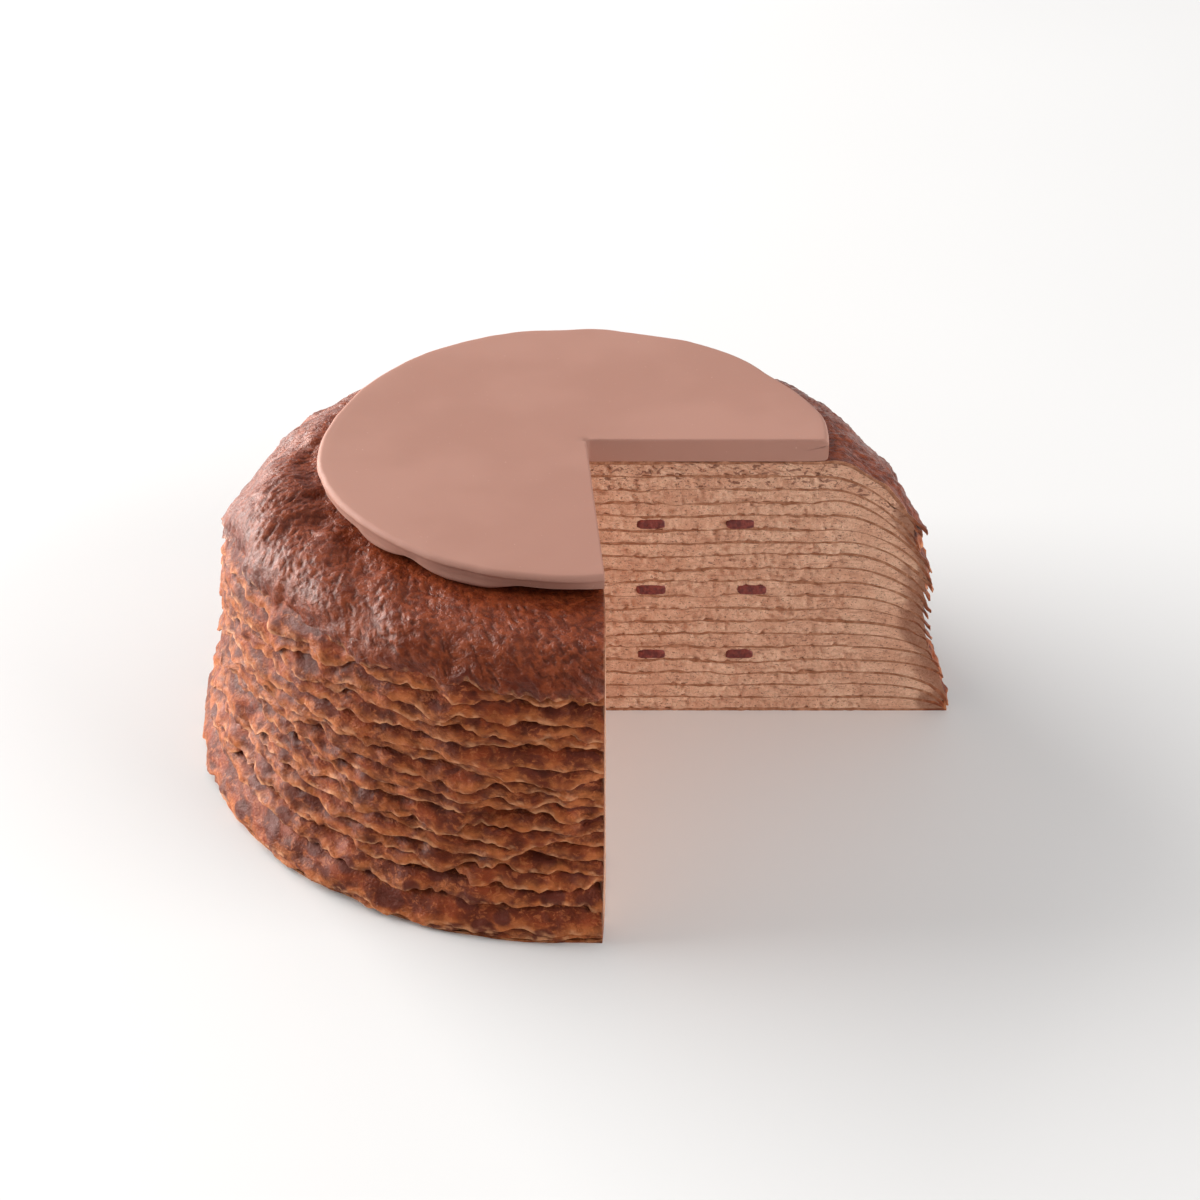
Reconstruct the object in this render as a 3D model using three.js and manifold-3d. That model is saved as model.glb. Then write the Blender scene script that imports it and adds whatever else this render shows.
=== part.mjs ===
// A chocolate crepe cake with one quarter cut out and taken away, as a standalone three.js model.
// Millimetres, +Z up. The origin is on the cake's axis, on the surface that the cake stands on.
// The back cut runs along +X and the front cut runs close to -Y, so the missing quarter is +X, -Y.
import * as THREE from 'three';
import { mergeVertices } from 'three/addons/utils/BufferGeometryUtils.js';
import Module from 'manifold-3d';

const wasm = await Module();
wasm.setup();

// ---------------------------------------------------------------------------------------------
// Driving dimensions
// ---------------------------------------------------------------------------------------------

const CAKE_HEIGHT = 63.1;
const BASE_RADIUS = 75;
const CREPE_COUNT = 20;
const CREPE_THICKNESS = 0.75;

// The knife went in a little off the axis. Angles are measured there, from +X towards +Y.
const CUT_CORNER = new THREE.Vector2(1.8, 1.6);
const BACK_CUT_ANGLE = 0;
const FRONT_CUT_ANGLE = THREE.MathUtils.degToRad(274.2);

// The side: a wide foot of the lowest crepes, a slightly tapering wall, and a rounded shoulder.
const WALL_RADIUS = 71.4;
const WALL_TAPER = 2.3;
const FOOT_FLARE = BASE_RADIUS - WALL_RADIUS;
const FOOT_START = 0.08;
const FOOT_END = 0.36;
const SHOULDER_PULL = 0.8;
const SHOULDER_SHARPNESS = 12;

// Every crepe lies flat in the middle and hangs down over its last stretch.
const DROOP_WIDTH = 10;
const DROOP_POWER = 2.4;
const TOP_DROOP = 6.6;
const DROOP_RISE = 0.6;
const RIM_THICKENING = 0.4;
const CREAM_INSET = 2.2;
const RUFFLE_DEPTH = 0.5;
const CORNER_FLARE = 1.4;
const CORNER_FLARE_SPAN = 0.5;

// All round the back and on the left the shoulder has slumped: it slopes instead of being square.
const SLUMP_FULL = THREE.MathUtils.degToRad(165);
const SLUMP_END = THREE.MathUtils.degToRad(205);
const SLUMP_DROP = 7.2;
const SLUMP_RISE = 1.2;
const SLUMP_WIDTH = 6;
const SLUMP_SOFTENING = 0.8;
const SLUMP_PULL = 2;

// Towards the side, the front cut's wall curls a little back under the cake.
const CURL_START = 40;
const CURL_SPAN = 35;
const CURL_DEPTH = 2.6;
const CURL_REACH = 30;

// The chocolate disc: its top edge is rounded, and its underside rises towards the edge.
const DISC_THICKNESS = 4.9;
const DISC_RADIUS = 48.6;
const DISC_EDGE_ROUND = 1.3;
const DISC_EDGE_THICKNESS = 3.1;
const DISC_UNDERCUT = 6;
const DISC_WOBBLE = 0.25;
const DISC_LOBES = [
  { at: 12, width: 10, bulge: 1.0 },
  { at: 36, width: 9, bulge: -0.9 },
  { at: 76, width: 8, bulge: -1.0 },
  { at: 97, width: 6, bulge: -0.6 },
  { at: 193, width: 19, bulge: 1.45 },
];
const LIP_DEPTH = 1.6;
const LIP_ANGLE = THREE.MathUtils.degToRad(232);
const LIP_HALF_WIDTH = THREE.MathUtils.degToRad(32);

// Rings of fruit jelly, two in each of three thicker layers of cream.
const RING_WIDTH = 5.4;
const RING_HEIGHT = 2.1;
const RING_CHAMFER = 0.5;
const RING_CLEARANCE = 0.3;
const RING_CREAM_THICKNESS = 2.55;
const RING_LAYERS = [
  { cream: 5, name: 'low', radii: [14.9, 32.4] },
  { cream: 10, name: 'middle', radii: [14.7, 34.6] },
  { cream: 15, name: 'high', radii: [14.6, 32.0] },
];

// Facets round the cake: the arc behind the cut corner, then the arc up to the front cut.
const BACK_ARC_FACETS = 12;
const FRONT_ARC_FACETS = 5;
const DISC_FACETS_PER_FACET = 2;

// ---------------------------------------------------------------------------------------------
// Heights and radii of the layers
// ---------------------------------------------------------------------------------------------

const STACK_HEIGHT = CAKE_HEIGHT - DISC_THICKNESS;
const CREAM_COUNT = CREPE_COUNT - 1;
const PLAIN_CREAM_THICKNESS =
  (STACK_HEIGHT - CREPE_COUNT * CREPE_THICKNESS - RING_LAYERS.length * RING_CREAM_THICKNESS) /
  (CREAM_COUNT - RING_LAYERS.length);

// Height of a crepe's underside in the middle of the cake. Crepes are numbered from 1, bottom up.
function crepeHeight(crepe) {
  const creamsBelow = crepe - 1;
  const thickBelow = RING_LAYERS.filter((layer) => layer.cream <= creamsBelow).length;
  return (
    creamsBelow * (CREPE_THICKNESS + PLAIN_CREAM_THICKNESS) +
    thickBelow * (RING_CREAM_THICKNESS - PLAIN_CREAM_THICKNESS)
  );
}

// How far up the stack a crepe is, from 0 at the bottom to 1 at the top.
const rise = (crepe) => (crepe - 1) / (CREPE_COUNT - 1);

// How far the shoulder has slumped at an angle, from 0 to 1.
const slump = (angle) => 1 - THREE.MathUtils.smoothstep(angle, SLUMP_FULL, SLUMP_END);

// Radius of a crepe before its edge is ruffled.
function plainRadius(crepe, angle) {
  const up = rise(crepe);
  const foot = FOOT_FLARE * (1 - THREE.MathUtils.smoothstep(up, FOOT_START, FOOT_END));
  const pull = SHOULDER_PULL * up ** SHOULDER_SHARPNESS + SLUMP_PULL * slump(angle) * up ** 2;
  return WALL_RADIUS - WALL_TAPER * up + foot - pull;
}

// Radius of a crepe's uneven edge at one angle. The foot spreads at the front cut's corner.
function edgeRadius(crepe, angle) {
  const ruffle = 0.6 * Math.sin(5 * angle + 2.4 * crepe) + 0.4 * Math.sin(9 * angle + 1.7 * crepe);
  const nearCorner = Math.max(0, 1 - (FRONT_CUT_ANGLE - angle) / CORNER_FLARE_SPAN);
  const spread = CORNER_FLARE * nearCorner ** 2 * Math.max(0, 1 - 4 * rise(crepe));
  return plainRadius(crepe, angle) + RUFFLE_DEPTH * ruffle + spread;
}

// Width of the stretch over which a crepe hangs down.
const droopWidth = (angle) => DROOP_WIDTH + SLUMP_WIDTH * slump(angle);

// How far a crepe has sunk below its middle at a place, and how much thicker it is there.
function droop(crepe, radius, angle) {
  const up = rise(crepe);
  const width = droopWidth(angle);
  const along = Math.max(0, (radius - plainRadius(crepe, angle) + width) / width);
  const depth = TOP_DROOP * up ** DROOP_RISE + SLUMP_DROP * slump(angle) * up ** SLUMP_RISE;
  return {
    drop: depth * along ** (DROOP_POWER - SLUMP_SOFTENING * slump(angle)),
    thickening: RIM_THICKENING * Math.min(1, along),
  };
}

function crepeUnderside(crepe, radius, angle) {
  return crepeHeight(crepe) - droop(crepe, radius, angle).drop;
}

function crepeUpperSide(crepe, radius, angle) {
  const { drop, thickening } = droop(crepe, radius, angle);
  return crepeHeight(crepe) + CREPE_THICKNESS - drop + thickening;
}

// ---------------------------------------------------------------------------------------------
// Solids between two polar surfaces that share the cut corner as their pole
// ---------------------------------------------------------------------------------------------

// Angles of the facets' corners, from the back cut round to the front cut.
function stations(facetsPerFacet = 1) {
  const back = BACK_ARC_FACETS * facetsPerFacet;
  const front = FRONT_ARC_FACETS * facetsPerFacet;
  const angles = [];
  for (let i = 0; i < back; i += 1) {
    angles.push(BACK_CUT_ANGLE + (Math.PI * i) / back);
  }
  for (let i = 0; i <= front; i += 1) {
    angles.push(Math.PI + ((FRONT_CUT_ANGLE - Math.PI) * i) / front);
  }
  return angles;
}

// How far a point near the outer end of the front cut has moved to the left.
function curl(x, y) {
  const outwards = Math.max(0, (-y - CURL_START) / CURL_SPAN);
  return CURL_DEPTH * outwards ** 2 * THREE.MathUtils.smoothstep(x, -CURL_REACH, 0);
}

// The point on the ray from the cut corner at this angle that is a radius away from the axis.
function onRay(angle, radius) {
  const ray = new THREE.Vector2(Math.cos(angle), Math.sin(angle));
  const along = CUT_CORNER.dot(ray);
  const distance = -along + Math.sqrt(radius ** 2 - CUT_CORNER.lengthSq() + along ** 2);
  const place = ray.multiplyScalar(distance).add(CUT_CORNER);
  place.x -= curl(place.x, place.y);
  return place;
}

// One ring of points: radiusAt and heightAt give the radius and height at each angle.
function ringPoints(angles, radiusAt, heightAt) {
  return angles.map((angle) => {
    const radius = radiusAt(angle);
    const place = onRay(angle, radius);
    return new THREE.Vector3(place.x, place.y, heightAt(radius, angle));
  });
}

class ShellBuilder {
  constructor() {
    this.positions = [];
  }

  triangle(a, b, c) {
    for (const point of [a, b, c]) {
      this.positions.push(point.x, point.y, point.z);
    }
  }

  // A fan from the pole, then bands from ring to ring. It faces up unless it is turned over.
  surface(pole, rings, faceUp) {
    const add = (a, b, c) => (faceUp ? this.triangle(a, b, c) : this.triangle(a, c, b));
    for (let i = 0; i + 1 < rings[0].length; i += 1) {
      add(pole, rings[0][i], rings[0][i + 1]);
      for (let ring = 0; ring + 1 < rings.length; ring += 1) {
        const inner = rings[ring];
        const outer = rings[ring + 1];
        add(inner[i], outer[i], outer[i + 1]);
        add(inner[i], outer[i + 1], inner[i + 1]);
      }
    }
  }

  // The outer wall, between the last rings of the lower and the upper surface.
  wall(lower, upper) {
    for (let i = 0; i + 1 < lower.length; i += 1) {
      this.triangle(lower[i], lower[i + 1], upper[i + 1]);
      this.triangle(lower[i], upper[i + 1], upper[i]);
    }
  }

  // A cut face: it zips two polylines together that both run outwards in the cut's plane.
  cutFace(lower, upper, flip) {
    const add = (a, b, c) => (flip ? this.triangle(a, c, b) : this.triangle(a, b, c));
    const reach = (point) => Math.hypot(point.x - CUT_CORNER.x, point.y - CUT_CORNER.y);
    let i = 0;
    let j = 0;
    while (i + 1 < lower.length || j + 1 < upper.length) {
      const lowerNext = i + 1 < lower.length ? reach(lower[i + 1]) : Infinity;
      const upperNext = j + 1 < upper.length ? reach(upper[j + 1]) : Infinity;
      if (lowerNext <= upperNext) {
        add(lower[i], lower[i + 1], upper[j]);
        i += 1;
      } else {
        add(lower[i], upper[j + 1], upper[j]);
        j += 1;
      }
    }
  }

  geometry() {
    const geometry = new THREE.BufferGeometry();
    geometry.setAttribute('position', new THREE.Float32BufferAttribute(this.positions, 3));
    return mergeVertices(geometry, 1e-4);
  }
}

// A closed solid between a lower and an upper surface, each { pole, rings }.
function solidBetween(lower, upper) {
  const shell = new ShellBuilder();
  const last = lower.rings[0].length - 1;
  const outline = (surface, index) => [surface.pole, ...surface.rings.map((ring) => ring[index])];
  shell.surface(lower.pole, lower.rings, false);
  shell.surface(upper.pole, upper.rings, true);
  shell.wall(lower.rings.at(-1), upper.rings.at(-1));
  shell.cutFace(outline(lower, 0), outline(upper, 0), false);
  shell.cutFace(outline(lower, last), outline(upper, last), true);
  return shell.geometry();
}

const poleAt = (height) => new THREE.Vector3(CUT_CORNER.x, CUT_CORNER.y, height);

// ---------------------------------------------------------------------------------------------
// Crepes and cream
// ---------------------------------------------------------------------------------------------

// Insets from a crepe's edge at which its surfaces bend, where the droop has this width. The first is
// where it starts. The skin on top bends in more places, two of them at shares of that width.
const SHOULDER_BENDS = [0.65, 0.4];
const SURFACE_INSETS = [(width) => width, () => CREAM_INSET, () => 0];
const TOP_SKIN_INSETS = [
  (width) => width,
  ...SHOULDER_BENDS.map((share) => (width) => share * width),
  () => CREAM_INSET,
  () => CREAM_INSET / 2,
  () => 0,
];

function crepeSurface(crepe, heightAt, insets = SURFACE_INSETS) {
  const angles = stations();
  const rings = insets.map((inset, index) =>
    ringPoints(
      angles,
      (angle) => edgeRadius(crepe, angle) - inset(droopWidth(angle)),
      (radius, angle) => heightAt(crepe, index === 0 ? 0 : radius, angle),
    ),
  );
  return { pole: poleAt(heightAt(crepe, 0, BACK_CUT_ANGLE)), rings };
}

function crepeGeometry(crepe) {
  const isTop = crepe === CREPE_COUNT;
  const upper = crepeSurface(crepe, crepeUpperSide, isTop ? TOP_SKIN_INSETS : SURFACE_INSETS);
  return solidBetween(crepeSurface(crepe, crepeUnderside), upper);
}

// Cream fills the space between two crepes, and stops short of their edges.
function creamGeometry(cream) {
  const lower = crepeSurface(cream, crepeUpperSide);
  const upper = crepeSurface(cream + 1, crepeUnderside);
  const filled = solidBetween(
    { pole: lower.pole, rings: lower.rings.slice(0, -1) },
    { pole: upper.pole, rings: upper.rings.slice(0, -1) },
  );
  const layer = RING_LAYERS.find((entry) => entry.cream === cream);
  return layer ? layer.radii.reduce((solid, r) => cut(solid, grooveGeometry(cream, r)), filled) : filled;
}

// ---------------------------------------------------------------------------------------------
// Fruit rings and their grooves
// ---------------------------------------------------------------------------------------------

// Sweeps a closed section, [outward, up] points anticlockwise, round the cake at a radius.
function sweptRing(section, radius, height, angles) {
  const shell = new ShellBuilder();
  const corners = section.map(([outward, up]) =>
    ringPoints(angles, () => radius + outward, () => height + up),
  );
  const last = angles.length - 1;
  for (let side = 0; side < corners.length; side += 1) {
    const a = corners[side];
    const b = corners[(side + 1) % corners.length];
    for (let i = 0; i < last; i += 1) {
      shell.triangle(a[i], b[i + 1], b[i]);
      shell.triangle(a[i], a[i + 1], b[i + 1]);
    }
  }
  for (let corner = 1; corner + 1 < corners.length; corner += 1) {
    shell.triangle(corners[0][0], corners[corner][0], corners[corner + 1][0]);
    shell.triangle(corners[0][last], corners[corner + 1][last], corners[corner][last]);
  }
  return shell.geometry();
}

// A flat-bottomed bar whose two upper edges are taken off.
function barSection(width, bottom, top, chamfer) {
  const half = width / 2;
  return [
    [-half, bottom],
    [half, bottom],
    [half, top - chamfer],
    [half - chamfer, top],
    [-half + chamfer, top],
    [-half, top - chamfer],
  ];
}

const ringFloor = (cream) => crepeHeight(cream) + CREPE_THICKNESS;

function ringGeometry(cream, radius) {
  const section = barSection(RING_WIDTH, 0, RING_HEIGHT, RING_CHAMFER);
  return sweptRing(section, radius, ringFloor(cream), stations());
}

// The groove is larger than its ring on both sides and above, and runs out through both cuts.
function grooveGeometry(cream, radius) {
  const overrun = 0.06;
  const width = RING_WIDTH + 2 * RING_CLEARANCE;
  const section = barSection(width, -1, RING_HEIGHT + RING_CLEARANCE / 2, RING_CHAMFER);
  const angles = [BACK_CUT_ANGLE - overrun, ...stations(), FRONT_CUT_ANGLE + overrun];
  return sweptRing(section, radius, ringFloor(cream), angles);
}

function toManifold(geometry) {
  const mesh = new wasm.Mesh({
    numProp: 3,
    vertProperties: new Float32Array(geometry.attributes.position.array),
    triVerts: new Uint32Array(geometry.index.array),
  });
  return new wasm.Manifold(mesh);
}

function cut(geometry, tool) {
  const mesh = toManifold(geometry).subtract(toManifold(tool)).getMesh();
  const result = new THREE.BufferGeometry();
  result.setAttribute('position', new THREE.BufferAttribute(mesh.vertProperties, 3));
  result.setIndex(new THREE.BufferAttribute(mesh.triVerts, 1));
  return result;
}

// ---------------------------------------------------------------------------------------------
// Chocolate disc
// ---------------------------------------------------------------------------------------------

// The disc's outline is nearly round, with shallow lobes and dents where the chocolate set unevenly.
function discRadius(angle) {
  const degrees = THREE.MathUtils.radToDeg(angle);
  const lobes = DISC_LOBES.map(({ at, width, bulge }) => bulge * Math.exp(-(((degrees - at) / width) ** 2)));
  return DISC_RADIUS + DISC_WOBBLE * Math.sin(7 * angle) + lobes.reduce((sum, lobe) => sum + lobe);
}

// Chocolate that ran under the edge hangs from it as a lip over part of the front.
function lipDepth(angle) {
  const away = Math.abs(angle - LIP_ANGLE) / LIP_HALF_WIDTH;
  return away < 1 ? LIP_DEPTH * Math.cos((away * Math.PI) / 2) ** 0.5 : 0;
}

function discGeometry() {
  const angles = stations(DISC_FACETS_PER_FACET);
  const ring = (inset, heightAt) =>
    ringPoints(angles, (angle) => discRadius(angle) - inset, (radius, angle) => heightAt(angle));
  const edgeBottom = CAKE_HEIGHT - DISC_EDGE_THICKNESS;
  const lower = {
    pole: poleAt(STACK_HEIGHT),
    rings: [
      ring(DISC_UNDERCUT, () => STACK_HEIGHT),
      ring(DISC_EDGE_ROUND / 2, (angle) => edgeBottom - lipDepth(angle)),
    ],
  };
  const upper = {
    pole: poleAt(CAKE_HEIGHT),
    rings: [
      ring(DISC_EDGE_ROUND, () => CAKE_HEIGHT),
      ring(DISC_EDGE_ROUND * (1 - Math.SQRT1_2), () => CAKE_HEIGHT - DISC_EDGE_ROUND * (1 - Math.SQRT1_2)),
      ring(0, () => CAKE_HEIGHT - DISC_EDGE_ROUND),
    ],
  };
  return solidBetween(lower, upper);
}

// ---------------------------------------------------------------------------------------------
// Assembly
// ---------------------------------------------------------------------------------------------

const crepeMaterial = new THREE.MeshStandardMaterial({ color: 0x8f5031, roughness: 0.6, metalness: 0 });
const creamMaterial = new THREE.MeshStandardMaterial({ color: 0xc0906f, roughness: 0.75, metalness: 0 });
const fruitMaterial = new THREE.MeshStandardMaterial({ color: 0x6e2328, roughness: 0.45, metalness: 0 });
const discMaterial = new THREE.MeshStandardMaterial({ color: 0xb98a7a, roughness: 0.4, metalness: 0 });

function add(parent, name, geometry, material) {
  geometry.computeVertexNormals();
  const mesh = new THREE.Mesh(geometry, material);
  mesh.name = name;
  parent.add(mesh);
}

const numbered = (word, index) => `${word}_${String(index).padStart(2, '0')}`;

const cake = new THREE.Group();
for (let crepe = 1; crepe <= CREPE_COUNT; crepe += 1) {
  add(cake, numbered('crepe', crepe), crepeGeometry(crepe), crepeMaterial);
}
for (let cream = 1; cream <= CREAM_COUNT; cream += 1) {
  add(cake, numbered('cream', cream), creamGeometry(cream), creamMaterial);
}
for (const { cream, name, radii } of RING_LAYERS) {
  add(cake, `fruit_ring_${name}_inner`, ringGeometry(cream, radii[0]), fruitMaterial);
  add(cake, `fruit_ring_${name}_outer`, ringGeometry(cream, radii[1]), fruitMaterial);
}
add(cake, 'chocolate_disc', discGeometry(), discMaterial);

export default cake;
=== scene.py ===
"""The looks of a chocolate crepe cake with one quarter cut out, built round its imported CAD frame.

Shapes are worked out in millimetres, in the frame's axes, and turned into metres where a mesh is made.
Every crepe, layer of cream, fruit ring and the chocolate disc is one closed mesh in place of its node.
"""

import math

import bpy
import numpy as np
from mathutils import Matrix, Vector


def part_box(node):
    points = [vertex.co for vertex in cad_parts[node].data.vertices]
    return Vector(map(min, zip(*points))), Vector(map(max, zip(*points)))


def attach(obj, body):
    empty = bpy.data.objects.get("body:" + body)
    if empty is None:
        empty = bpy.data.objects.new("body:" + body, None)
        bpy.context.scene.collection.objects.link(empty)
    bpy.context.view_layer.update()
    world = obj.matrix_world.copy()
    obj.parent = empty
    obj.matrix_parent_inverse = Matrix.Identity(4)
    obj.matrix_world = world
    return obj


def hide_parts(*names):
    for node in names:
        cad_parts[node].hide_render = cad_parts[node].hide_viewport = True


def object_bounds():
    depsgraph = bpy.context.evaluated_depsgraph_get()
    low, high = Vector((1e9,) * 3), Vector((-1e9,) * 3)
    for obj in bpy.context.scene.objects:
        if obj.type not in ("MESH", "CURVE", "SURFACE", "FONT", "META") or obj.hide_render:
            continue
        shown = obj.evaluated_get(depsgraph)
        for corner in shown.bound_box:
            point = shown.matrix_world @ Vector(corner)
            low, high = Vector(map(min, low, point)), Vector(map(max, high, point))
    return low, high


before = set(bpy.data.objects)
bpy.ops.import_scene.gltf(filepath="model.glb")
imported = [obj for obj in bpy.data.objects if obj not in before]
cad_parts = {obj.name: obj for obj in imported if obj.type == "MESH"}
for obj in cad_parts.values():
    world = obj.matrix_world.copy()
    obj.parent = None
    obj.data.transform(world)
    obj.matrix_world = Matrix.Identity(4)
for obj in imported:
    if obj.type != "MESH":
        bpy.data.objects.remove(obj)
cad_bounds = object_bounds()

MM = 0.001

# ---- Driving sizes, in millimetres ----

CREPE_COUNT = 20
CREAM_COUNT = CREPE_COUNT - 1
CAD_CREPE = 0.75                 # a crepe's thickness in the frame
CUT_CORNER = np.array([1.8, 1.6])
BACK_CUT = 0.0                   # the cuts' directions from the corner
FRONT_CUT = math.radians(274.2)
CUT_NORMALS = (np.array([0, -1, 0]), np.array([-math.sin(FRONT_CUT), math.cos(FRONT_CUT), 0]))

SHEET_INSIDE = 0.5               # a crepe squeezed between two layers of cream
SHEET_OUTSIDE = 0.62             # the same crepe where it hangs free at the side
SHEET_EDGE = 0.16                # its torn free edge
BEND_WIDTH = 12.0                # over which a crepe turns down at the side
SLUMP_FULL = math.radians(165)   # up to this angle from the back cut the shoulder slopes,
SLUMP_END = math.radians(205)    # and from here to the front cut it is square
CURL_START = 40.0                # distance from the axis where the front cut starts to curl
CURL_SPAN, CURL_DEPTH, CURL_REACH = 35.0, 2.6, 30.0
PLATE_CREPES = 4                 # so many crepes hang down to the plate
CREAM_SHARE = 0.47               # how far along a crepe's bend the cream reaches
CREAM_SHARE_AT_CUTS = 0.86       # and where the knife went through
WAY_RADIUS = 70.0                # turns angles into a distance round the side
RING_WIDTH, RING_HEIGHT = 5.4, 2.1
RING_SQUARENESS = 0.42           # 1 would make a ring's section an ellipse, 0 a rectangle

# Numbers of points: columns go round the cake, rows outwards and cells up a layer's cut face.
SKIN_COLUMNS, SKIN_ROWS = 520, 18
TOP_COLUMNS = 720
UNDERSIDE_ROWS = 7
CREPE_CELLS = 2
CREAM_COLUMNS, CREAM_ROWS, CREAM_CELLS = 110, 12, 5
CUT_STEP = 0.32                  # from point to point along a cut
RING_COLUMNS, RING_TURNS = 72, 28


def cad_box(node):
    """The lowest and highest corners of a CAD node, in millimetres."""
    low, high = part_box(node)
    return np.array(low) / MM, np.array(high) / MM


def crepe_node(crepe):
    return f"crepe_{crepe:02d}"


def cream_node(cream):
    return f"cream_{cream:02d}"


BOX_LOW, BOX_HIGH = (np.array(corner) / MM for corner in cad_bounds)
DISC_LOW, DISC_HIGH = cad_box("chocolate_disc")
CAKE_TOP = DISC_HIGH[2]
STACK_TOP = DISC_LOW[2]
DISC_RADIUS = 48.6
FLAT = [0.0] + [cad_box(crepe_node(k))[1][2] - CAD_CREPE for k in range(2, CREPE_COUNT + 1)]


# ---- Noise ----


def lattice(ix, iy, iz, seed):
    """A repeatable number from -1 to 1 for each corner of a grid."""
    h = (ix * 73856093) ^ (iy * 19349663) ^ (iz * 83492791) ^ (seed * 2654435761)
    h = h & 0xFFFFFFFF
    for _ in range(2):
        h = ((h ^ (h >> 16)) * 0x45D9F3B) & 0xFFFFFFFF
    return ((h ^ (h >> 16)) & 0xFFFFFFFF) / 2147483647.5 - 1.0


def noise(x, y, z, seed):
    """Smooth noise from -1 to 1 that changes over one unit."""
    x, y, z = np.broadcast_arrays(*(np.asarray(v, float) for v in (x, y, z)))
    cell = [np.floor(v).astype(np.int64) for v in (x, y, z)]
    part = [v - c for v, c in zip((x, y, z), cell)]
    fade = [p * p * p * (p * (6 * p - 15) + 10) for p in part]
    total = 0.0
    for corner in np.ndindex(2, 2, 2):
        weight = math.prod(f if step else 1 - f for f, step in zip(fade, corner))
        total = total + weight * lattice(*(c + step for c, step in zip(cell, corner)), seed)
    return total


def rough(x, y, z, seed, octaves=3):
    """Noise with finer noise added to it, each octave at half the size and half the height."""
    total, size, height = 0.0, 1.0, 1.0
    for octave in range(octaves):
        total = total + height * noise(x * size, y * size, z * size, seed + 17 * octave)
        size, height = size * 2.03, height * 0.5
    return total / (2 - 0.5 ** (octaves - 1))


def smoothstep(low, high, value):
    t = np.clip((value - low) / (high - low), 0, 1)
    return t * t * (3 - 2 * t)


# ---- Places round the cake ----


def slump(angle):
    """How far the shoulder has slumped, 0 to 1."""
    return 1 - smoothstep(SLUMP_FULL, SLUMP_END, angle)


def curled(x, y):
    """Moves points near the outer end of the front cut a little to the left, as the cut curls there."""
    outwards = np.maximum(0, (-y - CURL_START) / CURL_SPAN)
    return x - CURL_DEPTH * outwards**2 * smoothstep(-CURL_REACH, 0, x)


def on_ray(angle, radius):
    """The points on rays from the cut corner that are a radius away from the cake's axis."""
    cos, sin = np.cos(angle), np.sin(angle)
    along = CUT_CORNER[0] * cos + CUT_CORNER[1] * sin
    square = np.maximum(radius**2 - CUT_CORNER @ CUT_CORNER + along**2, 0)
    distance = np.maximum(np.sqrt(square) - along, 0)
    x, y = CUT_CORNER[0] + distance * cos, CUT_CORNER[1] + distance * sin
    return curled(x, y), y


def side_radius(height, slumped):
    """How far the side stands out at a height: a splayed foot, a leaning wall and a rounded shoulder."""
    wall = 71.0 - 2.3 * height / 50
    foot = 3.5 * (1 - smoothstep(1.5, 16, height))
    square = 1.3 * (1 - slumped) * smoothstep(43, 52, height)
    sloping = 1.8 * slumped * smoothstep(30, 44, height)
    return wall + foot - (square + sloping)


def edge_height(crepe, slumped):
    """Height of a crepe's free edge. The lowest few end on the plate, the rest higher and higher."""
    if crepe <= PLATE_CREPES:
        return np.full_like(slumped, 0.45 * (crepe - 1) + 0.35)
    low = 7.4
    top = 50.4 - 8.2 * slumped
    first = PLATE_CREPES + 1
    uneven = 0.6 * math.sin(crepe * 2.4) * min(1, CREPE_COUNT - crepe)
    return low + (top - low) * (crepe - first) / (CREPE_COUNT - first) + uneven


def softness(crepe, slumped):
    """How much a crepe shares in the slump of the shoulder: the top one wholly, the lowest not at all."""
    return slumped * ((crepe - 1) / (CREPE_COUNT - 1)) ** 1.5


def sway(x, y, crepe):
    """How far a layer rises and falls across the cake. The lowest and the highest lie nearly flat."""
    free = min(1.0, (crepe - 1) / 3) * min(1.0, (CREPE_COUNT - crepe) / 2)
    waves = ((0.45, 16, 0.4, 11), (0.34, 6.5, 0.9, 12), (0.24, 2.4, 1.3, 13), (0.10, 1.1, 1.3, 14))
    return free * sum(high * noise(x / size, y / size, crepe * own, seed) for high, size, own, seed in waves)


def sheet_thickness(x, y, crepe):
    """Thickness of a crepe inside the cake: uneven, and nearly gone in places."""
    uneven = 0.9 + 0.8 * noise(x / 5, y / 5, crepe * 3.1, 21) + 0.4 * noise(x / 1.3, y / 1.3, crepe, 22)
    return SHEET_INSIDE * np.maximum(uneven, 0.25)


# ---- A crepe's sheet: its middle, its edge and its two sides ----


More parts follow.
